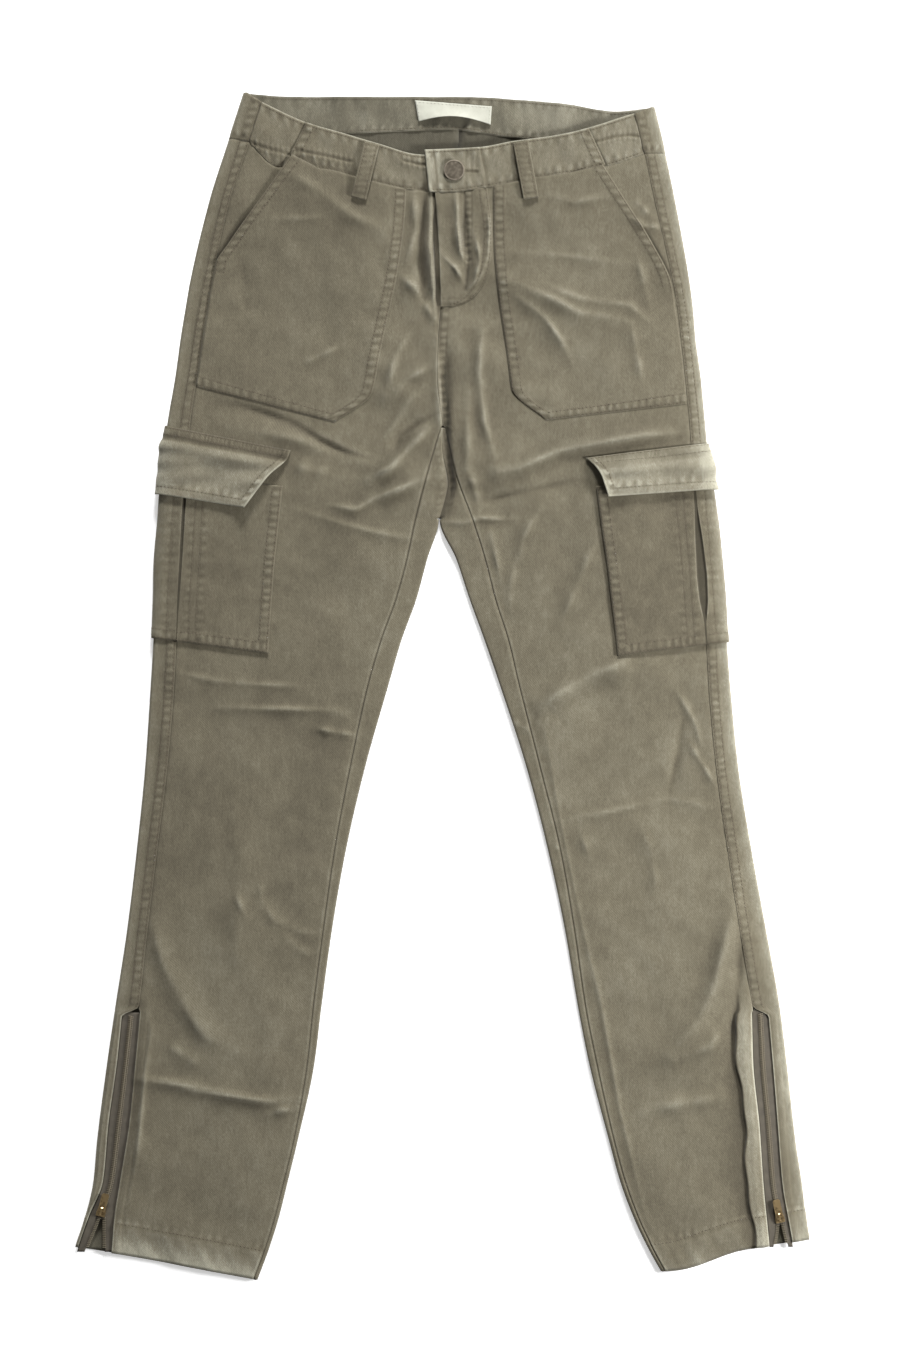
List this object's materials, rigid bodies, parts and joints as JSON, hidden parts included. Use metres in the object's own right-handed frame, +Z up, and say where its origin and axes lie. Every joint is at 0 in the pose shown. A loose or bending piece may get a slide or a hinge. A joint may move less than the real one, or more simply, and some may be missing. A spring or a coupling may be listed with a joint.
{
  "type": "cargo trousers",
  "caption": "Skinny cargo trousers in olive cotton twill, laid flat front up, with front patch pockets, pleated cargo pockets with flaps, belt loops and ankle zips.",
  "frame": {"origin": "on the surface the trousers lie on, under the middle of their outline", "axes": "+Z up, out of the front of the trousers; +Y towards the waist; +X towards the wearer's left leg"},
  "size_m": [0.6012, 0.972, 0.0131],
  "materials": {
    "brass": "antique brass",
    "button_metal": "dark bronze",
    "label": "plain off-white woven label",
    "twill": "matte cotton twill, washed olive",
    "zip_tape": "woven zip tape with its metal chain"
  },
  "bodies": {
    "trousers": {"belt_loop_back_centre": "twill", "belt_loop_back_left": "twill", "belt_loop_back_right": "twill", "belt_loop_front_left": "twill", "belt_loop_front_right": "twill", "cargo_flap_left": "twill", "cargo_flap_right": "twill", "cargo_pocket_left": "twill", "cargo_pocket_right": "twill", "fly_button": "button_metal", "fly_overlap": "twill", "leg_back_left": "twill", "leg_back_right": "twill", "leg_front_left": "twill", "leg_front_right": "twill", "pocket_left": "twill", "pocket_right": "twill", "waist_label": "label", "waistband_back": "twill", "waistband_front_left": "twill", "waistband_front_right": "twill", "waistband_side_left": "twill", "waistband_side_right": "twill", "zip_slider_left": "brass", "zip_slider_right": "brass", "zip_tape_left": "zip_tape", "zip_tape_right": "zip_tape"},
    "zip_pull_left": {"zip_pull_left": "brass"},
    "zip_pull_right": {"zip_pull_right": "brass"}
  },
  "joints": [
    {"name": "zip_pull_hinge_left", "type": "hinge", "parent": "trousers", "child": "zip_pull_left", "pos_m": [0.27585, -0.434, 0.00691], "axis": [0.9781, 0.2079, 0], "range_deg": [0, 170]},
    {"name": "zip_pull_hinge_right", "type": "hinge", "parent": "trousers", "child": "zip_pull_right", "pos_m": [-0.27915, -0.429, 0.00681], "axis": [0.9659, -0.2588, 0], "range_deg": [0, 170]}
  ]
}
